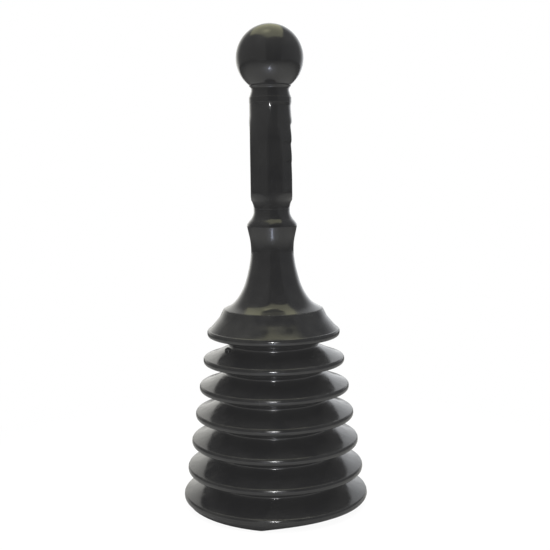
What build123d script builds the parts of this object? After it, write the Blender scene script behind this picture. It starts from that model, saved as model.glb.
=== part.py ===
from build123d import *
from math import atan2, cos, degrees, radians, sin
import os

# Bellows toilet plunger. Millimetres, +Z up. The origin is the centre of the mouth, on the floor.
# -Y is the front, and +X is the side of the grip that the fingers wrap round.
# The wall is followed downwards: ball knob, grip, neck, bell, then seven crest rings with a V-shaped
# fold between each two, and the mouth skirt below the lowest ring.

# ---- driving dimensions ----
wall = 2.0  # the moulded wall
fit = 0.05  # radial clearance where one piece plugs into the next

mouth_radius = 78.0  # outside of the rim that stands on the floor
mouth_height = 8.5  # rim up to the plane of the lowest crest
skirt_step = 0.8  # the skirt starts this far inside the lowest crest

ring_count = 7
ring_pitch = 24.3
ring_radius_top = 58.9  # crest of ring 1, the lip of the bell
ring_radius_step = 3.93  # each ring down is this much wider
bead_radius = 3.1  # rounded crest of a ring
web_join_out = 0.4  # where the web above runs into a bead, in bead radii from the bead's centre
web_join_up = 0.75
hang_join_down = 0.8  # where the web below leaves a bead, straight under its centre
lip_join = 0.5  # where the bell runs into bead 1, outwards and upwards alike
root_depth = 24.5  # sharp corner of a fold's V, inside the two crests it joins
root_rise = 13.6  # root above the crest below it
root_round = 2.0  # brings the root 2.5 out from that corner

ball_radius = 29.2
ball_height = 393.7  # centre of the ball
ball_join_radius = 17.6  # the ball runs into its short neck here
ball_neck_radius = 16.3
ball_neck_height = 366.4
ball_foot_height = 360.0  # the short neck reaches the grip's radius here

grip_top = 355.5
grip_bottom = 264.0
grip_radius = 18.2
grip_taper_top = 275.0
grip_waist_radius = 15.8  # the groove between grip and collar
socket_depth = 10.0  # how far the knob and the grip plug into the piece below

collar_height = 249.4
collar_radius = 21.8
waist_height = 227.3
waist_radius = 18.66

# More of the neck's and the bell's outside, as (radius, height).
collar_flank = (17.9, 255.5)
collar_crease = (21.1, 245.9)  # the sharp line under the collar
collar_foot = (19.9, 240.6)
flare = (25.0, 196.2)
flare_foot = (36.1, 179.4)
bell_middle = (50.2, 165.6)

shoulder_height = 173.4  # the sharp step between neck and bell
shoulder_radius = 44.6
shoulder_plug = 5.0
lip_width = 3.0  # how much of bead 1 the bell's wall covers

finger_pitch = 16.4
finger_top = 352.2  # middle of the highest finger hollow
finger_depths = (0.8, 0.8, 0.8, 0.4)  # from the top down: the lowest hollow is shallow
finger_hollow_radius = 30.0
flat_offset = 16.6  # the front and back flats of the grip, from the axis
flat_top = grip_top - 1.0
flat_bottom = 278.0

valve_turn = 201.0  # round the axis from +X, so on the left and a little to the front
valve_radius = 43.0  # distance from the axis to the valve, on the web of ring 2
seat_radius = 2.4
seat_flange_radius = 2.9
seat_flange = 0.5
seat_bore_radius = 1.15
stem_radius = 1.1
dome_height = 2.2
dome_radius = 2.7
dome_round = 1.9  # the rounding of the dome's rim
valve_lift = 0.6
clip_radius = 2.0
clip_thickness = 0.8
stem_length = seat_flange + wall + valve_lift + clip_thickness

standing = (Align.CENTER, Align.CENTER, Align.MIN)
hanging = (Align.CENTER, Align.CENTER, Align.MAX)


def ring_radius(number):
    return ring_radius_top + ring_radius_step * (number - 1)


def ring_height(number):
    return mouth_height + ring_pitch * (ring_count - number)


def bead(number):
    """The solid round crest of one ring."""
    with BuildPart() as crest:
        with BuildSketch(Plane.XZ):
            with Locations((ring_radius(number) - bead_radius, ring_height(number))):
                Circle(bead_radius)
        revolve(axis=Axis.Z)
    return crest.part


def root_of(number):
    """Radius and height of the root of the fold under ring `number`."""
    between = (ring_radius(number) + ring_radius(number + 1)) / 2
    return between - root_depth, ring_height(number + 1) + root_rise


def web_end_of(number):
    """Where the outside of the web above ring `number` runs into its bead."""
    centre = ring_radius(number) - bead_radius
    return centre + web_join_out * bead_radius, ring_height(number) + web_join_up * bead_radius


# ---- where the valve sits: on the upper web of ring 2, square to it ----
web_root = root_of(1)
web_end = web_end_of(2)
web_slope = degrees(atan2(web_root[1] - web_end[1], web_end[0] - web_root[0]))
web_share = (valve_radius - web_root[0]) / (web_end[0] - web_root[0])
valve_height = web_root[1] + web_share * (web_end[1] - web_root[1])
outward = Vector(cos(radians(valve_turn)), sin(radians(valve_turn)), 0)
valve_axis = outward * sin(radians(web_slope)) + Vector(0, 0, cos(radians(web_slope)))
valve_plane = Plane(
    origin=outward * valve_radius + Vector(0, 0, valve_height),
    x_dir=outward.cross(Vector(0, 0, 1)),
    z_dir=valve_axis,
)


def moulded_ball_knob():
    """Hollow ball and its short neck, with a plug that fits inside the grip."""
    join_height = ball_height - (ball_radius**2 - ball_join_radius**2) ** 0.5
    plug_radius = grip_radius - wall - fit
    bore_radius = plug_radius - wall
    with BuildPart() as knob:
        with BuildSketch(Plane.XZ):
            with BuildLine():
                Line((0, grip_top), (0, ball_height + ball_radius))
                ThreePointArc(
                    (0, ball_height + ball_radius),
                    (ball_radius, ball_height),
                    (ball_join_radius, join_height),
                )
                ThreePointArc(
                    (ball_join_radius, join_height),
                    (ball_neck_radius, ball_neck_height),
                    (grip_radius, ball_foot_height),
                )
                Line((grip_radius, ball_foot_height), (grip_radius, grip_top))
                Line((grip_radius, grip_top), (0, grip_top))
            make_face()
        revolve(axis=Axis.Z)
        with BuildSketch(Plane.XY.offset(grip_top)):
            Circle(plug_radius)
        extrude(amount=-socket_depth)
        with BuildSketch(Plane.XY.offset(grip_top - socket_depth)):
            Circle(bore_radius)
        extrude(amount=ball_height - grip_top + socket_depth, mode=Mode.SUBTRACT)
        with Locations((0, 0, ball_height)):
            Sphere(ball_radius - wall, mode=Mode.SUBTRACT)
    return knob.part


def moulded_grip():
    """Grip tube: flat front and back, finger hollows on +X, and a plug for the neck."""
    flat_length = flat_top - flat_bottom
    plug_radius = grip_waist_radius - wall - fit
    with BuildPart() as grip:
        with BuildSketch(Plane.XZ):
            with BuildLine():
                Line((0, grip_bottom), (0, grip_top))
                Line((0, grip_top), (grip_radius, grip_top))
                Line((grip_radius, grip_top), (grip_radius, grip_taper_top))
                Spline(
                    (grip_radius, grip_taper_top),
                    (grip_waist_radius, grip_bottom),
                    tangents=((0, -1), (0, -1)),
                )
                Line((grip_waist_radius, grip_bottom), (0, grip_bottom))
            make_face()
        revolve(axis=Axis.Z)
        for side in (-1, 1):
            with Locations((0, side * (flat_offset + grip_radius), flat_bottom)):
                Box(
                    2 * grip_radius,
                    2 * grip_radius,
                    flat_length,
                    align=standing,
                    mode=Mode.SUBTRACT,
                )
        for number, depth in enumerate(finger_depths):
            across = grip_radius - depth + finger_hollow_radius
            height = finger_top - number * finger_pitch
            with Locations(Location((across, 0, height), (90, 0, 0))):
                Cylinder(finger_hollow_radius, 3 * grip_radius, mode=Mode.SUBTRACT)
        with BuildSketch(Plane.XY.offset(grip_bottom)):
            Circle(plug_radius)
        extrude(amount=-socket_depth)
        with BuildSketch(Plane.XZ):
            with BuildLine():
                Polyline(
                    (0, grip_bottom - socket_depth),
                    (plug_radius - wall, grip_bottom - socket_depth),
                    (plug_radius - wall, grip_taper_top - wall),
                    (flat_offset - wall, grip_taper_top + wall),
                    (flat_offset - wall, grip_top - socket_depth),
                    (grip_radius - wall, grip_top - socket_depth),
                    (grip_radius - wall, grip_top),
                    (0, grip_top),
                    close=True,
                )
            make_face()
        revolve(axis=Axis.Z, mode=Mode.SUBTRACT)
    return grip.part


def neck_outline():
    """Outside of the neck from its top edge to the shoulder, as (radius, height) curves."""
    groove = (grip_waist_radius, grip_bottom)
    collar = (collar_radius, collar_height)
    waist = (waist_radius, waist_height)
    shoulder = (shoulder_radius, shoulder_height)
    Spline(groove, collar_flank, collar, collar_crease, tangents=((0, -1), (-0.4, -1)))
    Spline(
        collar_crease,
        collar_foot,
        waist,
        flare,
        flare_foot,
        shoulder,
        tangents=((-0.25, -1), (1, -0.5)),
    )


def moulded_neck():
    """Collar and trumpet, hollow, with a socket for the grip and a plug for the bell."""
    plug_radius = shoulder_radius - wall - fit
    plug_bore = plug_radius - wall
    plug_bore_top = shoulder_height - wall / 2
    plug_foot = shoulder_height - shoulder_plug
    waist_bore = waist_radius - wall
    bore_top = grip_bottom - socket_depth
    with BuildPart() as neck:
        with BuildSketch(Plane.XZ):
            with BuildLine():
                neck_outline()
                Line((shoulder_radius, shoulder_height), (0, shoulder_height))
                Line((0, shoulder_height), (0, grip_bottom))
                Line((0, grip_bottom), (grip_waist_radius, grip_bottom))
            make_face()
        revolve(axis=Axis.Z)
        with BuildSketch(Plane.XY.offset(shoulder_height)):
            Circle(plug_radius)
        extrude(amount=-shoulder_plug)
        with BuildSketch(Plane.XZ):
            with BuildLine():
                Spline(
                    (waist_bore, bore_top),
                    (waist_bore, waist_height),
                    (flare[0] - wall, flare[1] - wall),
                    (plug_bore, plug_bore_top),
                    tangents=((0, -1), (1, -0.4)),
                )
                Line((plug_bore, plug_bore_top), (plug_bore, plug_foot))
                Line((plug_bore, plug_foot), (0, plug_foot))
                Line((0, plug_foot), (0, bore_top))
                Line((0, bore_top), (waist_bore, bore_top))
            make_face()
        revolve(axis=Axis.Z, mode=Mode.SUBTRACT)
        with BuildSketch(Plane.XY.offset(grip_bottom)):
            Circle(grip_waist_radius - wall)
        extrude(amount=-socket_depth, mode=Mode.SUBTRACT)
    return neck.part


def moulded_bell():
    """Skirt of the bell, from the shoulder step down to the bead of ring 1."""
    centre = ring_radius(1) - bead_radius
    lip = (centre + lip_join * bead_radius, ring_height(1) + lip_join * bead_radius)
    lip_inside = (lip[0] - lip_width, lip[1])
    socket_radius = shoulder_radius - wall
    with BuildPart() as bell:
        with BuildSketch(Plane.XZ):
            with BuildLine():
                Line((socket_radius, shoulder_height), (shoulder_radius, shoulder_height))
                Spline(
                    (shoulder_radius, shoulder_height),
                    bell_middle,
                    lip,
                    tangents=((0.5, -1), (0.7, -0.6)),
                )
                Line(lip, lip_inside)
                Spline(
                    lip_inside,
                    (bell_middle[0] - wall, bell_middle[1] - wall),
                    (socket_radius, shoulder_height - wall),
                )
                Line((socket_radius, shoulder_height - wall), (socket_radius, shoulder_height))
            make_face()
        revolve(axis=Axis.Z)
        add(bead(1), mode=Mode.SUBTRACT)
    return bell.part


def moulded_fold(number):
    """The V between ring `number` and the ring below it, trimmed where it meets their beads."""
    centre = ring_radius(number) - bead_radius
    upper_end = (centre, ring_height(number) - hang_join_down * bead_radius)
    with BuildPart() as fold:
        with BuildSketch(Plane.XZ):
            with BuildLine() as outline:
                Polyline(upper_end, root_of(number), web_end_of(number + 1))
                fillet(outline.vertices().sort_by(Axis.X)[0], radius=root_round)
                offset(amount=wall, side=Side.RIGHT)
            make_face()
        revolve(axis=Axis.Z)
        add(bead(number), mode=Mode.SUBTRACT)
        add(bead(number + 1), mode=Mode.SUBTRACT)
        if number == 1:
            with BuildSketch(valve_plane.offset(-2 * wall)):
                Circle(seat_radius + fit)
            extrude(amount=4 * wall, mode=Mode.SUBTRACT)
    return fold.part


def moulded_mouth_skirt():
    """Short wall under the lowest ring, tapering in to the flat rim."""
    top_radius = ring_radius(ring_count) - skirt_step
    top_height = mouth_height - lip_join * bead_radius
    with BuildPart() as skirt:
        with BuildSketch(Plane.XZ):
            with BuildLine():
                Polyline(
                    (mouth_radius, 0),
                    (top_radius, top_height),
                    (top_radius - lip_width, top_height),
                    (mouth_radius - wall, 0),
                    close=True,
                )
            make_face()
        revolve(axis=Axis.Z)
        add(bead(ring_count), mode=Mode.SUBTRACT)
    return skirt.part


def moulded_valve_seat():
    """Flanged bush in the web, with the bore that the poppet's stem runs in."""
    with BuildPart(valve_plane) as seat:
        Cylinder(seat_flange_radius, seat_flange, align=standing)
        Cylinder(seat_radius, wall, align=hanging)
        Cylinder(seat_bore_radius, 3 * wall, mode=Mode.SUBTRACT)
    return seat.part


def moulded_valve_poppet():
    """Domed head that closes on the seat, and the stem below it."""
    with BuildPart(valve_plane) as poppet:
        with Locations((0, 0, seat_flange)):
            Cylinder(dome_radius, dome_height, align=standing)
        rim = poppet.edges().sort_by(Axis(valve_plane.origin, valve_plane.z_dir))[-1]
        fillet(rim, radius=dome_round)
        with Locations((0, 0, seat_flange)):
            Cylinder(stem_radius, stem_length, align=hanging)
    return poppet.part


def moulded_valve_clip():
    """Push-on ring at the inner end of the stem, which stops the poppet when it lifts."""
    with BuildPart(valve_plane) as clip:
        with Locations((0, 0, -wall - valve_lift)):
            Cylinder(clip_radius, clip_thickness, align=hanging)
            Cylinder(stem_radius, clip_thickness, align=hanging, mode=Mode.SUBTRACT)
    return clip.part


def save(part, name):
    part.label = name
    export_step(part, f"parts/{name}.step")


os.makedirs("parts", exist_ok=True)
save(moulded_ball_knob(), "ball_knob")
save(moulded_grip(), "grip")
save(moulded_neck(), "neck")
save(moulded_bell(), "bell")
for ring_number in range(1, ring_count + 1):
    save(bead(ring_number), f"crest_ring_{ring_number}")
for fold_number in range(1, ring_count):
    save(moulded_fold(fold_number), f"fold_{fold_number}")
save(moulded_mouth_skirt(), "mouth_skirt")
save(moulded_valve_seat(), "valve_seat")
save(moulded_valve_poppet(), "valve_poppet")
save(moulded_valve_clip(), "valve_clip")
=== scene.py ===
from math import acos, cos, degrees, exp, pi, radians, sin, tan

import bmesh
import bpy
from mathutils import Matrix, Vector


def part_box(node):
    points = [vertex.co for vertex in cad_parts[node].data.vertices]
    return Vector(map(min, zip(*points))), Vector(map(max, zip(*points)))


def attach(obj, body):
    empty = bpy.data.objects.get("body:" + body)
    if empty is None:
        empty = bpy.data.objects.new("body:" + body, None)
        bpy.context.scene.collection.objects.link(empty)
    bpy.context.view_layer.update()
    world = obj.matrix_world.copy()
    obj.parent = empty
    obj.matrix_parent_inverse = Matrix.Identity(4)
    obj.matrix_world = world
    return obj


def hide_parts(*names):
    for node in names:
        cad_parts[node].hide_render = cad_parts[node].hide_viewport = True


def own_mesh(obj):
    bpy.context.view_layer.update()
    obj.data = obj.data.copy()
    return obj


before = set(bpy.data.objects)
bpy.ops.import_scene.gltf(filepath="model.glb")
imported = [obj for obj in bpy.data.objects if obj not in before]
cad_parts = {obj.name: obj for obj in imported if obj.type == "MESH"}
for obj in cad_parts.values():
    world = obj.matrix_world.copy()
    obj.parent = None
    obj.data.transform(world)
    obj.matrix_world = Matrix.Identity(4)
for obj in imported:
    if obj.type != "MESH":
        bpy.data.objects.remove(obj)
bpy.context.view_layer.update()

# The visual model of a bellows toilet plunger. Lengths are millimetres until a mesh is made.
# -Y is the front, +X is the finger side of the grip, and +Z is up.

mm = 0.001


# ---- sizes read from the frame ----
def node_box(name):
    """Lowest and highest corners of a CAD node, in millimetres."""
    low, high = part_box(name)
    return low / mm, high / mm


ring_count = 7
ring_radius = {}
ring_height = {}
for ring in range(1, ring_count + 1):
    ring_low, ring_high = node_box(f"crest_ring_{ring}")
    ring_radius[ring] = ring_high.x
    ring_height[ring] = (ring_low.z + ring_high.z) / 2
    bead_radius = (ring_high.z - ring_low.z) / 2

ball_radius = node_box("ball_knob")[1].x
ball_height = node_box("ball_knob")[1].z - ball_radius
grip_radius = node_box("grip")[1].x
grip_top = node_box("grip")[1].z
groove_height = node_box("neck")[1].z
socket_depth = groove_height - node_box("grip")[0].z
shoulder_radius = node_box("neck")[1].x
shoulder_height = node_box("bell")[1].z

# ---- sizes of the finer shape ----
wall = 2.0
fit = 0.05  # gap round a plug in its socket
ball_join_radius = 18.1  # the ball ends here, at a fine ridge above its short neck
ledge_height = 4.4  # the ledge's top edge above the top of the grip
ledge_out = 0.1  # how far the ledge stands out past the grip
groove_radius = 15.8
groove_margin = 0.5  # the grip is plainly round up to this height above the groove
grip_foot = 10.5  # the grip starts to narrow at this height above the groove
grip_front = 17.0  # front and back of the grip, from the axis
grip_front_round = 29.0  # the gentle curve of the grip's front and back
grip_corner = 40  # the higher, the crisper the edges between front and sides
round_until = 10  # the grip is round for this far below its top
flat_from = 46  # and fully flattened from here down
round_below = 6  # it is round again from this height above the groove
flat_above = 14  # and flattened from here up
front_fades = 18  # its front starts to fall back to the groove at this height above it
side_off = 0.06  # where the grip is round, the flats at its sides stand off by this share
side_off_fades = 8  # the higher, the sooner they come in
smallest_cos = 0.01
under_ledge = 5  # below the ledge the front falls back over about this height
finger_depths = (0.55, 0.85, 0.85, 0.4)
finger_top = grip_top - 3.3
finger_pitch = 16.4
finger_above = 2.0  # a hollow's reach above its floor
finger_below = 6.5  # and below it
waist_radius = 18.66
waist_height = groove_height - 36.7
shoulder = (shoulder_radius - 0.6, shoulder_height + 2.0)  # the crisp edge of the shoulder
shoulder_round = 0.45
crest_corner = 1.4  # rounding of a crest's upper corner
crest_face = 4.8  # the gentle curve of its outer face
crest_foot = 2.2  # rounding of its lower corner
crest_lean = 30  # degrees above level where the corner ends and the face begins
crest_tuck = -20  # degrees where the face ends and the lower corner begins
bell_meets = 47  # degrees above level where the bell's wall meets the bead of crest 1
skirt_meets = -24  # and where the mouth's skirt leaves the lowest bead
web_meets = 71  # degrees above level where a web runs into the crest's upper corner
root_depth = 24.5  # how far inside the crests a fold's root is
root_rise = 13.6  # its height above the lower crest
root_round = 2.0
web_straight = 0.6  # share of the lower web that is straight
mouth_radius = 78.0
rim_front = radians(-99)  # the rim touches the floor here, and behind
rim_rise_right = 5.6
rim_rise_left = 3.4
rim_slope_right = 19  # degrees round the rim over which it rises
rim_slope_left = 36
rim_spread = 0.5  # the rim goes outwards by this share of its rise

# ---- the lathe ----
even_steps = 192
seam_steps = (0.25, 0.5, 0.8, 1.2)  # degrees on each side of a mould line
ridge_height = 0.12
ridge_width = 0.3
ridge_full_radius = 12  # nearer the axis than this the ridge is lower
on_axis = 0.01  # a point nearer the axis than this is on it
sharp_edge = radians(30)
wear_gain = 0.8
shortest_step = 0.05


def all_angles():
    """Even steps round the axis, with finer ones beside the two mould lines at +X and -X."""
    made = {round(360 * step / even_steps, 4) for step in range(even_steps)}
    for seam in (0, 180):
        for step in seam_steps:
            made.add((seam + step) % 360)
            made.add((seam - step) % 360)
    return [radians(angle) for angle in sorted(made)]


turn_angles = all_angles()


def mould_ridge(radius, angle):
    """Height of the fine line that the two halves of the mould leave."""
    away = abs(sin(angle)) * radius
    return ridge_height * min(1, radius / ridge_full_radius) * exp(-((away / ridge_width) ** 2))


def sharpness(outline, closed):
    """How tightly the outline turns outwards at each point, 0 to 1, for the wear on the edges."""
    made = []
    count = len(outline)
    for index in range(count):
        if not closed and index in (0, count - 1):
            made.append(0.0)
            continue
        here = Vector(outline[index])
        before = here - Vector(outline[index - 1])
        after = Vector(outline[(index + 1) % count]) - here
        length = (before.length + after.length) / 2
        turn = before.angle_signed(after, 0.0)
        made.append(max(0.0, min(1.0, wear_gain * turn / max(length, shortest_step))))
    return made


def lathe(outline, outside=0, reshape=None):
    """Turns an outline of (radius, height) points round Z. It is followed down the outside and up the inside.

    An outline that starts and ends on the axis is open there. reshape moves the first `outside` points.
    """
    bm = bmesh.new()
    edge_layer = bm.verts.layers.float.new("edge")
    closed = outline[0][0] > on_axis
    edges = sharpness(outline, closed)
    rows = []
    for index, (radius, height) in enumerate(outline):
        if radius < on_axis:
            row = [bm.verts.new((0, 0, height * mm))]
        else:
            row = []
            for angle in turn_angles:
                r, z = radius, height
                if reshape and index < outside:
                    r, z = reshape(r, z, angle)
                r += mould_ridge(r, angle)
                row.append(bm.verts.new((r * cos(angle) * mm, r * sin(angle) * mm, z * mm)))
        for vertex in row:
            vertex[edge_layer] = edges[index]
        rows.append(row)
    if closed:
        rows.append(rows[0])
    for one, two in zip(rows, rows[1:]):
        for step in range(len(turn_angles)):
            after = (step + 1) % len(turn_angles)
            if len(one) == 1:
                corners = (one[0], two[after], two[step])
            elif len(two) == 1:
                corners = (one[step], one[after], two[0])
            else:
                corners = (one[step], one[after], two[after], two[step])
            bm.faces.new(corners)
    return bm


def make_piece(name, bm, material, slot, body, *nodes):
    """Turns the mesh into a piece that rides on a body and stands for CAD nodes."""
    bmesh.ops.recalc_face_normals(bm, faces=bm.faces)
    for face in bm.faces:
        face.smooth = True
    for edge in bm.edges:
        edge.smooth = edge.calc_face_angle(0) < sharp_edge
    mesh = bpy.data.meshes.new(name)
    bm.to_mesh(mesh)
    bm.free()
    mesh.materials.append(material)
    piece = bpy.data.objects.new(name, mesh)
    bpy.context.scene.collection.objects.link(piece)
    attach(piece, body)
    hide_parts(*nodes)
    return piece


# ---- outlines ----
def arc(centre, radius, start, end, steps):
    """Points on an arc from start to end degrees: 0 is outwards and 90 is up."""
    made = []
    for step in range(steps + 1):
        angle = radians(start + (end - start) * step / steps)
        made.append((centre[0] + radius * cos(angle), centre[1] + radius * sin(angle)))
    return made


def curve(points, steps, start=None, end=None):
    """A smooth curve through the points, with given directions at its ends if they matter."""
    points = [Vector(point) for point in points]
    chords = [after - before for before, after in zip(points, points[1:])]
    slopes = [Vector(start or chords[0]).normalized()]
    for before, after in zip(chords, chords[1:]):
        mixed = before.normalized() * after.length + after.normalized() * before.length
        slopes.append(mixed / (before.length + after.length))
    slopes.append(Vector(end or chords[-1]).normalized())
    made = [tuple(points[0])]
    for index, chord in enumerate(chords):
        for step in range(1, steps + 1):
            t = step / steps
            leave = (t**3 - 2 * t**2 + t) * chord.length * slopes[index]
            arrive = (t**3 - t**2) * chord.length * slopes[index + 1]
            move = (3 * t**2 - 2 * t**3) * chord
            made.append(tuple(points[index] + move + leave + arrive))
    return made


def line(start, end, steps):
    """Evenly spaced points on a straight line."""
    start, end = Vector(start), Vector(end)
    return [tuple(start.lerp(end, step / steps)) for step in range(steps + 1)]


def rounded(before, corner, after, radius, steps=6):
    """The arc that rounds one corner."""
    corner = Vector(corner)
    back = (Vector(before) - corner).normalized()
    ahead = (Vector(after) - corner).normalized()
    half = back.angle(ahead) / 2
    centre = corner + (back + ahead).normalized() * radius / sin(half)
    first = corner + back * radius / tan(half) - centre
    last = corner + ahead * radius / tan(half) - centre
    made = []
    for step in range(steps + 1):
        spoke = first.lerp(last, step / steps).normalized() * radius
        made.append(tuple(centre + spoke))
    return made


def wall_inside(outside, thickness=wall):
    """The inner face of the wall behind a line, followed the opposite way."""
    made = []
    for index, point in enumerate(outside):
        before = Vector(outside[max(index - 1, 0)])
        after = Vector(outside[min(index + 1, len(outside) - 1)])
        along = (after - before).normalized()
        made.append(tuple(Vector(point) + Vector((along.y, -along.x)) * thickness))
    return made[::-1]


def smooth(low, high, value):
    """0 at low, 1 at high, and a soft step between them."""
    t = max(0.0, min(1.0, (value - low) / (high - low)))
    return t * t * (3 - 2 * t)


# ---- materials ----
def add_node(tree, kind, inputs=None, **settings):
    """Adds a shader node, sets its properties, and links or fills its inputs."""
    made = tree.nodes.new(kind)
    for name, value in settings.items():
        setattr(made, name, value)
    for name, value in (inputs or {}).items():
        if isinstance(value, bpy.types.NodeSocket):
            tree.links.new(value, made.inputs[name])
        else:
            made.inputs[name].default_value = value
    return made


def add_range(tree, value, from_low, from_high, to_low, to_high):
    """A soft step from one range of values to another."""
    made = add_node(
        tree,
        "ShaderNodeMapRange",
        {"Value": value, "From Min": from_low, "From Max": from_high, "To Min": to_low, "To Max": to_high},
        interpolation_type="SMOOTHSTEP",
    )
    return made.outputs["Result"]


def add_mix(tree, factor, one, two):
    """Mixes two colours."""
    made = add_node(tree, "ShaderNodeMix", data_type="RGBA")
    tree.links.new(factor, made.inputs[0])
    for socket, value in ((made.inputs[6], one), (made.inputs[7], two)):
        if isinstance(value, bpy.types.NodeSocket):
            tree.links.new(value, socket)
        else:
            socket.default_value = (*value, 1)
    return made.outputs[2]


def add_math(tree, operation, one, two):
    """Adds or multiplies two numbers."""
    made = add_node(tree, "ShaderNodeMath", {0: one, 1: two}, operation=operation)
    return made.outputs[0]


def distance(tree, place, centre):
    """How far each point is from a centre."""
    made = add_node(tree, "ShaderNodeVectorMath", {0: place, 1: centre}, operation="DISTANCE")
    return made.outputs["Value"]


def add_noise(tree, vector, scale, detail, roughness):
    """Noise in a given number of patches to the metre."""
    made = add_node(
        tree,
        "ShaderNodeTexNoise",
        {"Vector": vector, "Scale": scale, "Detail": detail, "Roughness": roughness},
    )
    return made.outputs["Fac"]


worn_colour = (0.06, 0.06, 0.058)
scuff_colour = (0.05, 0.05, 0.05)
worn_share = 0.5
scuff_share = 0.35
worn_dulls = 0.08  # added to the roughness
scuff_dulls = 0.12
scratch_grain = (900, 900, 90)  # scratches are ten times as long as wide, and upright
peel_depth = 0.000012  # metres
scratch_depth = 0.00002
scratch_bump = 0.3


def black_plastic(name, dark, pale, gloss, satin, wave):
    """Glossy black moulded plastic: uneven tone, wavy skin, fine orange peel, scuffs and worn edges."""
    material = bpy.data.materials.new(name)
    material.use_nodes = True
    tree = material.node_tree
    tree.nodes.clear()
    place = add_node(tree, "ShaderNodeTexCoord").outputs["Object"]
    edge = add_node(tree, "ShaderNodeAttribute", attribute_name="edge").outputs["Fac"]

    clouds = add_noise(tree, place, scale=45, detail=4, roughness=0.55)
    stretched = add_node(tree, "ShaderNodeMapping", {"Vector": place, "Scale": scratch_grain}).outputs[0]
    streaks = add_noise(tree, stretched, scale=1, detail=3, roughness=0.6)
    scratches = add_range(tree, streaks, 0.62, 0.72, 0, 1)
    blots = add_noise(tree, place, scale=60, detail=3, roughness=0.6)
    patches = add_range(tree, blots, 0.5, 0.68, 0, 1)
    scuffs = add_math(tree, "MULTIPLY", scratches, patches)
    wear = add_range(tree, edge, 0.3, 1.0, 0, 1)
    nicks = add_noise(tree, place, scale=160, detail=4, roughness=0.6)
    worn = add_math(tree, "MULTIPLY", wear, add_range(tree, nicks, 0.35, 0.7, 0.2, 1))

    tone = add_mix(tree, add_range(tree, clouds, 0.35, 0.65, 0, 1), dark, pale)
    tone = add_mix(tree, add_math(tree, "MULTIPLY", worn, worn_share), tone, worn_colour)
    tone = add_mix(tree, add_math(tree, "MULTIPLY", scuffs, scuff_share), tone, scuff_colour)

    haze = add_noise(tree, place, scale=90, detail=5, roughness=0.6)
    finish = add_range(tree, haze, 0.3, 0.7, gloss, satin)
    finish = add_math(tree, "ADD", finish, add_math(tree, "MULTIPLY", scuffs, scuff_dulls))
    finish = add_math(tree, "ADD", finish, add_math(tree, "MULTIPLY", worn, worn_dulls))

    swell = add_noise(tree, place, scale=28, detail=2, roughness=0.5)
    waves = add_node(
        tree, "ShaderNodeBump", {"Height": swell, "Strength": 1.0, "Distance": wave}
    ).outputs[0]
    dimples = add_noise(tree, place, scale=330, detail=2, roughness=0.5)
    peel = add_node(
        tree,
        "ShaderNodeBump",
        {"Height": dimples, "Strength": 1.0, "Distance": peel_depth, "Normal": waves},
    ).outputs[0]
    scored = add_node(
        tree,
        "ShaderNodeBump",
        {"Height": scuffs, "Strength": scratch_bump, "Distance": scratch_depth, "Normal": peel},
        invert=True,
    ).outputs[0]

    skin = add_node(
        tree,
        "ShaderNodeBsdfPrincipled",
        {"Base Color": tone, "Roughness": finish, "IOR": 1.5, "Normal": scored},
    )
    output = add_node(tree, "ShaderNodeOutputMaterial")
    tree.links.new(skin.outputs[0], output.inputs["Surface"])
    return material


handle_plastic = black_plastic(
    "handle_plastic",
    dark=(0.005, 0.005, 0.0055),
    pale=(0.010, 0.010, 0.010),
    gloss=0.12,
    satin=0.2,
    wave=0.0004,
)
bellows_plastic = black_plastic(
    "bellows_plastic",
    dark=(0.004, 0.004, 0.0045),
    pale=(0.009, 0.009, 0.009),
    gloss=0.14,
    satin=0.26,
    wave=0.0003,
)
valve_plastic = black_plastic(
    "valve_plastic",
    dark=(0.004, 0.004, 0.004),
    pale=(0.009, 0.009, 0.009),
    gloss=0.12,
    satin=0.2,
    wave=0.0001,
)


# ---- the handle ----
def build_knob():
    """The hollow ball, its concave short neck, and the foot that plugs into the grip."""
    join = degrees(acos(ball_join_radius / ball_radius))
    plug = grip_radius - wall - fit
    foot = grip_top + ledge_height
    outline = arc((0, ball_height), ball_radius, 90, -join, 56)
    outline[0] = (0, ball_height + ball_radius)
    ridge = (ball_join_radius + 0.05, grip_top + 14.6)
    under_ridge = (17.75, grip_top + 13.8)
    outline += curve([outline[-1], ridge, under_ridge], 4, start=(0.6, -0.8), end=(-1, -0.5))[1:]
    on_ledge = (18.0, foot + 0.4)
    outline += curve(
        [
            outline[-1],
            (16.5, grip_top + 12.0),
            (16.4, grip_top + 10.6),
            (16.9, grip_top + 8.2),
            on_ledge,
        ],
        6,
        start=(-0.9, -0.5),
        end=(0.25, -1),
    )[1:]
    ledge = grip_radius + ledge_out
    outline += rounded(on_ledge, (ledge, foot), (ledge, grip_top), 0.3, 3)
    outline += rounded((ledge, foot), (ledge, grip_top), (plug, grip_top), 0.15, 3)
    outline += [(plug, grip_top), (plug, grip_top - socket_depth)]
    outline += [(plug - wall, grip_top - socket_depth)]
    inner = ball_radius - wall
    inner_join = degrees(acos((plug - wall) / inner))
    outline += arc((0, ball_height), inner, -inner_join, 90, 24)
    outline[-1] = (0, ball_height + inner)
    make_piece("knob", lathe(outline), handle_plastic, "handle_plastic", "head", "ball_knob")


def finger_wave(height):
    """Depth of the finger hollows at a height: steep above each hollow's floor, gentle below it."""
    depth = 0.0
    for number, deepest in enumerate(finger_depths):
        away = height - (finger_top - number * finger_pitch)
        reach = finger_above if away > 0 else finger_below
        depth = max(depth, deepest * exp(-((away / reach) ** 2)))
    return depth


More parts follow.
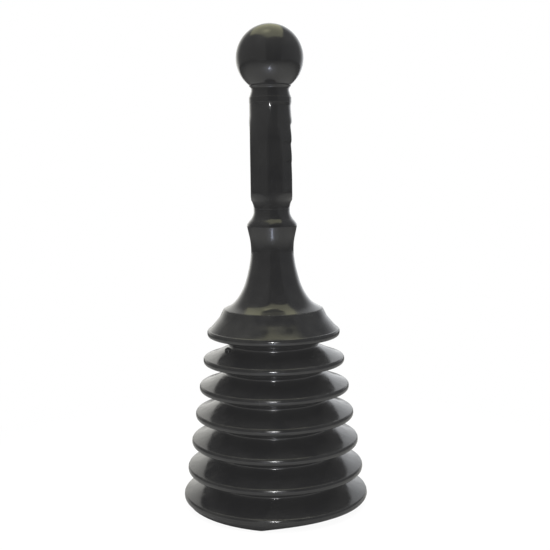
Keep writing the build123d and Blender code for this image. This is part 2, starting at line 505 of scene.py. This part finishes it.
def grip_section(radius, height, angle):
    """Round under the ledge and at the groove, flatter between them, with finger hollows on +X."""
    if height < groove_height + groove_margin:
        return radius, height
    square = smooth(grip_top - round_until, grip_top - flat_from, height)
    square *= smooth(groove_height + round_below, groove_height + flat_above, height)
    above_groove = smooth(groove_height, groove_height + front_fades, height)
    front = groove_radius + (grip_front - groove_radius) * above_groove
    front += (grip_radius - grip_front) * exp((height - grip_top) / under_ledge)
    curve_radius = radius + (grip_front_round - radius) * square
    back_off = (curve_radius - front) * abs(sin(angle))
    face = (back_off**2 + curve_radius**2 - (curve_radius - front) ** 2) ** 0.5 - back_off
    side = radius * (1 + side_off * (1 - square) ** side_off_fades) / max(abs(cos(angle)), smallest_cos)
    shaped = (face**-grip_corner + side**-grip_corner) ** (-1 / grip_corner)
    shaped -= finger_wave(height) * max(0.0, cos(angle)) ** 2
    return shaped, height


def build_grip():
    """The grip tube: a crease under the ledge, flats, finger hollows, and a rounded lower end."""
    plug = groove_radius - wall - fit
    straight_end = groove_height + grip_foot
    outline = rounded((16.5, grip_top), (grip_radius, grip_top), (grip_radius, straight_end), 0.12, 4)
    outline += line((grip_radius, grip_top - 0.5), (grip_radius, straight_end), 104)
    outline += curve(
        [
            (grip_radius, straight_end),
            (17.6, groove_height + 7.4),
            (16.3, groove_height + 3.6),
            (groove_radius, groove_height),
        ],
        6,
        start=(0, -1),
        end=(0, -1),
    )[1:]
    outside = len(outline)
    bore = grip_front - wall - 1
    outline += [
        (plug, groove_height),
        (plug, groove_height - socket_depth),
        (plug - wall, groove_height - socket_depth),
        (plug - wall, straight_end - wall),
        (bore, straight_end + wall),
        (bore, grip_top - socket_depth),
        (grip_radius - wall, grip_top - socket_depth),
        (grip_radius - wall, grip_top),
    ]
    bm = lathe(outline, outside, grip_section)
    make_piece("grip_tube", bm, handle_plastic, "handle_plastic", "head", "grip")


def build_neck():
    """Collar with its sharp crease, waist and flare, down to the shoulder."""
    crease = (21.9, groove_height - 15.4)
    outline = curve(
        [
            (groove_radius, groove_height),
            (16.0, groove_height - 4.5),
            (17.5, groove_height - 8.1),
            (20.6, groove_height - 12.0),
            (21.75, groove_height - 13.9),
            crease,
        ],
        6,
        start=(0, -1),
        end=(-0.02, -1),
    )
    outline += curve(
        [
            crease,
            (21.0, groove_height - 19.8),
            (19.3, groove_height - 28.0),
            (waist_radius, waist_height),
            (19.55, groove_height - 46.5),
            (21.8, groove_height - 57.2),
            (25.0, groove_height - 67.8),
            (29.9, groove_height - 77.2),
            (36.1, groove_height - 84.4),
            (shoulder[0] - 0.6, shoulder[1] + 0.27),
        ],
        6,
        start=(-0.2, -1),
        end=(1, -0.46),
    )[1:]
    plug = shoulder_radius - wall - fit
    outline += [
        (plug, shoulder_height),
        (plug, shoulder_height - 5),
        (plug - wall, shoulder_height - 5),
        (plug - wall, shoulder_height - 1),
    ]
    outline += curve(
        [
            (plug - wall, shoulder_height - 1),
            (23.0, groove_height - 69.8),
            (waist_radius - wall, waist_height),
            (waist_radius - wall, groove_height - socket_depth),
        ],
        8,
        start=(-1, 0.4),
        end=(0, 1),
    )[1:]
    outline += [
        (groove_radius - wall, groove_height - socket_depth),
        (groove_radius - wall, groove_height),
    ]
    make_piece("neck_trumpet", lathe(outline), handle_plastic, "handle_plastic", "head", "neck")


# ---- the bellows ----
def bead_centre(number):
    """Middle of the round bead inside a crest."""
    return ring_radius[number] - bead_radius, ring_height[number]


def build_bell():
    """The skirt of the bell: a crisp shoulder, a concave flare, and the wall behind it."""
    lip = arc(bead_centre(1), bead_radius, bell_meets, bell_meets, 1)[0]
    below = (45.1, 173.2)
    outline = rounded((shoulder[0] - 0.9, shoulder[1] + 0.41), shoulder, below, shoulder_round, 5)
    flare = curve(
        [outline[-1], below, (46.9, 169.5), (51.0, 164.2), lip], 8, start=(0.45, -1), end=(0.73, -0.68)
    )[1:]
    outline += flare
    outline += wall_inside(flare)
    outline += [(shoulder_radius - wall, shoulder_height), (shoulder[0] - 1.6, shoulder[1])]
    make_piece("bell_skirt", lathe(outline), bellows_plastic, "bellows_plastic", "head", "bell")


def crest_upper(number):
    """Middle of the tight upper corner of a crest."""
    lean = radians(crest_lean)
    radius = ring_radius[number] - crest_face + (crest_face - crest_corner) * cos(lean)
    return Vector((radius, ring_height[number] + bead_radius - crest_corner))


def crest_outline(number):
    """A tight upper corner, a nearly upright face and a fuller lower corner, and a round bead behind them."""
    centre = bead_centre(number)
    upper = crest_upper(number)
    lean, tuck = radians(crest_lean), radians(crest_tuck)
    middle = upper - Vector((cos(lean), sin(lean))) * (crest_face - crest_corner)
    lower = middle + Vector((cos(tuck), sin(tuck))) * (crest_face - crest_foot)
    outline = arc(centre, bead_radius, 180, 96, 10)
    outline += arc(upper, crest_corner, 90, crest_lean, 12)
    outline += arc(middle, crest_face, crest_lean, crest_tuck, 10)[1:]
    outline += arc(lower, crest_foot, crest_tuck, -90, 8)[1:]
    outline += arc(centre, bead_radius, -98, -170, 9)
    return outline


def build_crest(number):
    """One rounded crest of the bellows."""
    body = {1: "head", ring_count: "base"}.get(number, f"ring_{number}")
    outline = crest_outline(number)
    bm = lathe(outline)
    make_piece(f"crest_{number}", bm, bellows_plastic, "bellows_plastic", body, f"crest_ring_{number}")


def root_of(number):
    """Sharp corner of the V below a ring."""
    between = (ring_radius[number] + ring_radius[number + 1]) / 2
    return Vector((between - root_depth, ring_height[number + 1] + root_rise))


def build_fold(number):
    """The V-shaped web between two crests, which closes up as the handle is pressed."""
    root = root_of(number)
    start = Vector(bead_centre(number)) + Vector((0, -0.8)) * bead_radius
    aim = Vector(bead_centre(number + 1)) + Vector((0.4, 0.75)) * bead_radius
    end = arc(crest_upper(number + 1), crest_corner, web_meets, web_meets, 1)[0]
    over = (sin(radians(web_meets)), -cos(radians(web_meets)))
    corner = rounded(start, root, aim, root_round, 8)
    turn = root.lerp(aim, web_straight)
    outline = line(start, corner[0], 8)[:-1] + corner + line(corner[-1], turn, 8)[1:]
    outline += curve([turn, end], 8, start=aim - root, end=over)[1:]
    outline += wall_inside(outline)
    body = f"fold_{number}"
    bm = lathe(outline)
    piece = make_piece(f"web_{number}", bm, bellows_plastic, "bellows_plastic", body, f"fold_{number}")
    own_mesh(piece)


def rim_lift(angle):
    """How far the mouth's rim is off the floor: it touches in front and behind, and rises at the sides."""
    away = (degrees(angle - rim_front) + 180) % 360 - 180
    if away > 0:
        rise = rim_rise_right * (1 - exp(-abs(away) / rim_slope_right))
    else:
        rise = rim_rise_left * (1 - exp(-abs(away) / rim_slope_left))
    return rise * smooth(180, 120, abs(away))


def shape_rim(radius, height, angle):
    """Lifts the free edge of the mouth skirt, more the nearer it is to the rim."""
    top = ring_height[ring_count]
    share = max(0.0, min(1.0, (top - height) / top))
    lift = rim_lift(angle) * share
    return radius + rim_spread * lift, height + lift


def build_skirt():
    """The short wall below the lowest crest, with a rounded rim that isn't quite level."""
    centre = bead_centre(ring_count)
    top = arc(centre, bead_radius - 0.02, skirt_meets, skirt_meets, 1)[0]
    outline = curve([top, (80.4, 4.1), (mouth_radius, 0.9)], 8, start=(-0.4, -1), end=(-0.62, -1))
    outline += rounded(outline[-1], (mouth_radius - 0.5, 0), (mouth_radius - 3, 0), 0.4, 4)
    outline += rounded((mouth_radius, 0), (mouth_radius - wall, 0), (mouth_radius - wall + 1, 3), 0.5, 4)
    outline += curve([(mouth_radius - wall + 0.3, 1.2), (78.6, 4.6), (79.2, 6.2)], 5)
    bm = lathe(outline, len(outline), shape_rim)
    make_piece("mouth_lip", bm, bellows_plastic, "bellows_plastic", "base", "mouth_skirt")


def finish_valve():
    """The valve's own CAD pieces stay, with the plastic's finish."""
    for name in ("valve_seat", "valve_poppet", "valve_clip"):
        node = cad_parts[name]
        for material_slot in node.material_slots:
            material_slot.link = "OBJECT"
            material_slot.material = valve_plastic


build_knob()
build_grip()
build_neck()
build_bell()
for ring in range(1, ring_count + 1):
    build_crest(ring)
for fold in range(1, ring_count):
    build_fold(fold)
build_skirt()
finish_valve()

# ---- the stage ----
# Lengths are metres from here on, and places and directions are (x, y, z).
table_size = 3.0
table_front = -1.3  # the table reaches this far towards the camera
painted_light_middle = (0, -0.2, 0)  # painted light: reflections see the table's colour palest here, a painted pool of light
painted_light_near = 0.33  # painted light: how pale reflections see the table, near its middle and far from it
painted_light_far = 0.09
painted_light_fade = (0.1, 1.15)  # distances from its middle
painted_light_widening = (0.5, 1, 1)  # the painted pool of light on the table is twice as wide as deep
paper_colour = (0.88, 0.88, 0.88)
painted_glare_place = (0.0, -0.45, 0.0)  # painted glare: the table glows here, standing in for the flash shining back from it
painted_glare_colour = (0.74, 0.8, 1.0)
painted_glare_reach = (0.015, 0.045)
painted_glare_strength = 26.0
# painted haze: a wider, fainter bluish glow on the table round the painted glare
painted_haze_reach = (0.02, 0.3)
painted_haze_strength = 0.75
room_strength = 0.22
doorway_strength = 0.03
doorway_left = (-0.28, -0.14)  # its soft edges, as the x of a direction
doorway_right = (0.58, 0.7)
doorway_depth = (-0.3, 0)  # it fades out between these, as the y of a direction
back_wall_strength = 1.3
back_wall_reach = (0.5, 1.05)
warm_side = (1.0, 0.99, 0.94)
cool_side = (0.95, 0.97, 1.0)
ceiling_rise = 1.2  # from the ball to the ceiling panel
ceiling_outline = ((-0.09, -0.53), (0.67, -0.23), (0.25, 1.38), (-0.45, 1.09), (-0.81, 0.48))
lamp_place = (-0.12, 0.05)  # both are shares of the rise
ceiling_colour = (1.0, 0.98, 0.64)
ceiling_strength = 1.5
lamp_spread = 0.28  # the brighter patch on the ceiling panel
lamp_strength = 3.4
soft_size = 2.2
soft_place = (0, 0.1, 1.5)
soft_power = 75
flash_x = -0.02
flash_below_camera = 0.02
flash_size = 0.024
flash_power = 2.6
beam_width = radians(2.6)
beam_tilt = radians(101.7)
beam_below_camera = 0.11
beam_softness = 0.6
beam_power = 16.0
camera_distance = 0.8081
camera_height = 0.2967
camera_pitch = radians(6.474)
camera_roll = radians(-0.82)
focal_share = 1.66764  # focal length over the width of the picture
sideways_shift = 0.0042
sensor = 36.0
black_lift = (-0.018, -0.018, -0.0183)


def emitter(name, corners, colour, strength, spot=None):
    """A glowing sheet that the camera doesn't see. spot is a brighter patch: (x, y, z, radius, strength)."""
    mesh = bpy.data.meshes.new(name)
    mesh.from_pydata(corners, [], [list(range(len(corners)))])
    sheet = bpy.data.objects.new(name, mesh)
    bpy.context.scene.collection.objects.link(sheet)
    sheet.visible_camera = False
    sheet.visible_shadow = False
    material = bpy.data.materials.new(name)
    material.use_nodes = True
    tree = material.node_tree
    tree.nodes.clear()
    level = strength
    if spot:
        place = add_node(tree, "ShaderNodeNewGeometry").outputs["Position"]
        level = add_range(tree, distance(tree, place, spot[:3]), 0, spot[3], spot[4], strength)
    glow = add_node(tree, "ShaderNodeEmission", {"Color": (*colour, 1), "Strength": level})
    output = add_node(tree, "ShaderNodeOutputMaterial")
    tree.links.new(glow.outputs[0], output.inputs["Surface"])
    mesh.materials.append(material)


def build_floor():
    """A pale matt table. The camera sees it almost white; reflections see a painted pool of light on it,
    dimmer away from the middle and dimmest far away, and a painted glare where the flash would shine back.
    """
    size = table_size
    corners = [(-size, table_front, 0), (size, table_front, 0), (size, size, 0), (-size, size, 0)]
    mesh = bpy.data.meshes.new("floor")
    mesh.from_pydata(corners, [], [(0, 1, 2, 3)])
    floor = bpy.data.objects.new("floor", mesh)
    bpy.context.scene.collection.objects.link(floor)
    material = bpy.data.materials.new("pale_floor")
    material.use_nodes = True
    tree = material.node_tree
    tree.nodes.clear()
    place = add_node(tree, "ShaderNodeNewGeometry").outputs["Position"]
    narrow = add_node(tree, "ShaderNodeVectorMath", {0: place, 1: painted_light_widening}, operation="MULTIPLY")
    from_middle = distance(tree, narrow.outputs[0], painted_light_middle)
    fade = add_range(tree, distance(tree, place, (0, 0, 0)), 0.1, 0.4, 0.95, 1)
    seen = add_node(tree, "ShaderNodeLightPath").outputs["Is Camera Ray"]
    # painted light: for reflections the table's colour is a pool of light, pale near the middle and dark far
    # away
    level = add_range(tree, from_middle, *painted_light_fade, painted_light_near, painted_light_far)
    painted_table_shade = add_mix(tree, level, (0, 0, 0), (1, 1, 1))
    paper = add_mix(tree, seen, painted_table_shade, paper_colour)
    paint = add_node(tree, "ShaderNodeBsdfDiffuse", {"Color": paper})
    white = add_node(tree, "ShaderNodeEmission", {"Color": (1, 1, 1, 1), "Strength": 1.0})
    mixed = add_node(tree, "ShaderNodeMixShader", {"Fac": add_math(tree, "MULTIPLY", fade, seen)})
    tree.links.new(paint.outputs[0], mixed.inputs[1])
    tree.links.new(white.outputs[0], mixed.inputs[2])
    # painted glare and haze: the table glows bluish round one place, standing in for the flash's reflection
    # on it
    from_glare = distance(tree, place, painted_glare_place)
    glare = add_range(tree, from_glare, *painted_glare_reach, painted_glare_strength, 0)
    haze = add_range(tree, from_glare, *painted_haze_reach, painted_haze_strength, 0)
    both = add_math(tree, "ADD", glare, haze)
    painted_glare_glow = add_node(tree, "ShaderNodeEmission", {"Color": (*painted_glare_colour, 1), "Strength": both})
    whole = add_node(tree, "ShaderNodeAddShader")
    tree.links.new(mixed.outputs[0], whole.inputs[0])
    tree.links.new(painted_glare_glow.outputs[0], whole.inputs[1])
    output = add_node(tree, "ShaderNodeOutputMaterial")
    tree.links.new(whole.outputs[0], output.inputs["Surface"])
    mesh.materials.append(material)


def build_world():
    """White to the camera. Reflections see a dim room, a dark doorway in front and a bright back wall."""
    world = bpy.data.worlds.new("studio")
    bpy.context.scene.world = world
    world.use_nodes = True
    tree = world.node_tree
    tree.nodes.clear()
    towards = add_node(tree, "ShaderNodeTexCoord").outputs["Generated"]
    axes = add_node(tree, "ShaderNodeSeparateXYZ", {0: towards})
    across, along = axes.outputs["X"], axes.outputs["Y"]
    left_side = add_range(tree, across, *doorway_left, 0, 1)
    right_side = add_range(tree, across, *doorway_right, 1, 0)
    doorway = add_math(tree, "MULTIPLY", left_side, right_side)
    doorway = add_math(tree, "MULTIPLY", doorway, add_range(tree, along, *doorway_depth, 1, 0))
    walls = add_range(tree, doorway, 0, 1, room_strength, doorway_strength)
    back_wall = add_range(tree, along, *back_wall_reach, 0, back_wall_strength)
    level = add_math(tree, "ADD", walls, back_wall)
    tint = add_mix(tree, add_range(tree, across, -0.3, 0.3, 0, 1), warm_side, cool_side)
    room = add_node(tree, "ShaderNodeBackground", {"Color": tint, "Strength": level})
    white = add_node(tree, "ShaderNodeBackground", {"Color": (1, 1, 1, 1), "Strength": 1.0})
    seen = add_node(tree, "ShaderNodeLightPath").outputs["Is Camera Ray"]
    mixed = add_node(tree, "ShaderNodeMixShader", {"Fac": seen})
    tree.links.new(room.outputs[0], mixed.inputs[1])
    tree.links.new(white.outputs[0], mixed.inputs[2])
    output = add_node(tree, "ShaderNodeOutputWorld")
    tree.links.new(mixed.outputs[0], output.inputs["Surface"])


def place_flash(light, place, tilt, lit):
    """Puts a small bright lamp beside the camera, for some of the pieces only."""
    lamp = bpy.data.objects.new(light.name, light)
    lamp.location = place
    lamp.rotation_euler = (tilt, 0, 0)
    lamp.visible_camera = False
    bpy.context.scene.collection.objects.link(lamp)
    receivers = bpy.data.collections.new(f"lit_by_{light.name}")
    for piece in lit:
        receivers.objects.link(piece)
    lamp.light_linking.receiver_collection = receivers


def build_lights():
    """An olive-tinted ceiling panel, a soft light from above, a flash, and a narrow beam on the ledge."""
    height = ball_height * mm + ceiling_rise
    corners = [(x * ceiling_rise, y * ceiling_rise, height) for x, y in ceiling_outline]
    lamp_x, lamp_y = lamp_place
    spot = (lamp_x * ceiling_rise, lamp_y * ceiling_rise, height, lamp_spread, lamp_strength)
    emitter("ceiling_panel", corners, ceiling_colour, ceiling_strength, spot)

    soft = bpy.data.lights.new("soft_top", "AREA")
    soft.shape = "SQUARE"
    soft.size = soft_size
    soft.energy = soft_power
    holder = bpy.data.objects.new("soft_top", soft)
    holder.location = soft_place
    holder.visible_glossy = False
    holder.visible_camera = False
    bpy.context.scene.collection.objects.link(holder)

    pieces = [piece for piece in bpy.context.scene.collection.objects if piece.type == "MESH"]
    flash = bpy.data.lights.new("flash", "AREA")
    flash.shape = "DISK"
    flash.size = flash_size
    flash.energy = flash_power
    below = [piece for piece in pieces if piece.name not in ("knob", "grip_tube", "neck_trumpet")]
    beside_camera = (flash_x, -camera_distance, camera_height - flash_below_camera)
    place_flash(flash, beside_camera, radians(90), below)

    beam = bpy.data.lights.new("flash_on_ledge", "SPOT")
    beam.shadow_soft_size = flash_size / 2
    beam.spot_size = beam_width
    beam.spot_blend = beam_softness
    beam.energy = beam_power
    grip = [piece for piece in pieces if piece.name == "grip_tube"]
    lower = (flash_x, -camera_distance, camera_height - beam_below_camera)
    place_flash(beam, lower, beam_tilt, grip)


def build_camera():
    """Level with the grip, looking down a little, with the lean of a camera held in the hand."""
    camera = bpy.data.cameras.new("camera")
    camera.sensor_width = sensor
    camera.lens = focal_share * sensor
    camera.shift_x = sideways_shift
    camera.clip_start = 0.01
    holder = bpy.data.objects.new("camera", camera)
    bpy.context.scene.collection.objects.link(holder)
    place = Matrix.Translation((0, -camera_distance, camera_height))
    tilt = Matrix.Rotation(pi / 2 - camera_pitch, 4, "X")
    roll = Matrix.Rotation(camera_roll, 4, "Z")
    holder.matrix_world = place @ tilt @ roll
    bpy.context.scene.camera = holder


def build_print():
    """Plain colours, with the blacks lifted a little as on a hazy lens."""
    settings = bpy.context.scene.view_settings
    settings.view_transform = "Standard"
    settings.use_curve_mapping = True
    settings.curve_mapping.black_level = black_lift
    settings.curve_mapping.update()


build_floor()
build_world()
build_lights()
build_camera()
build_print()
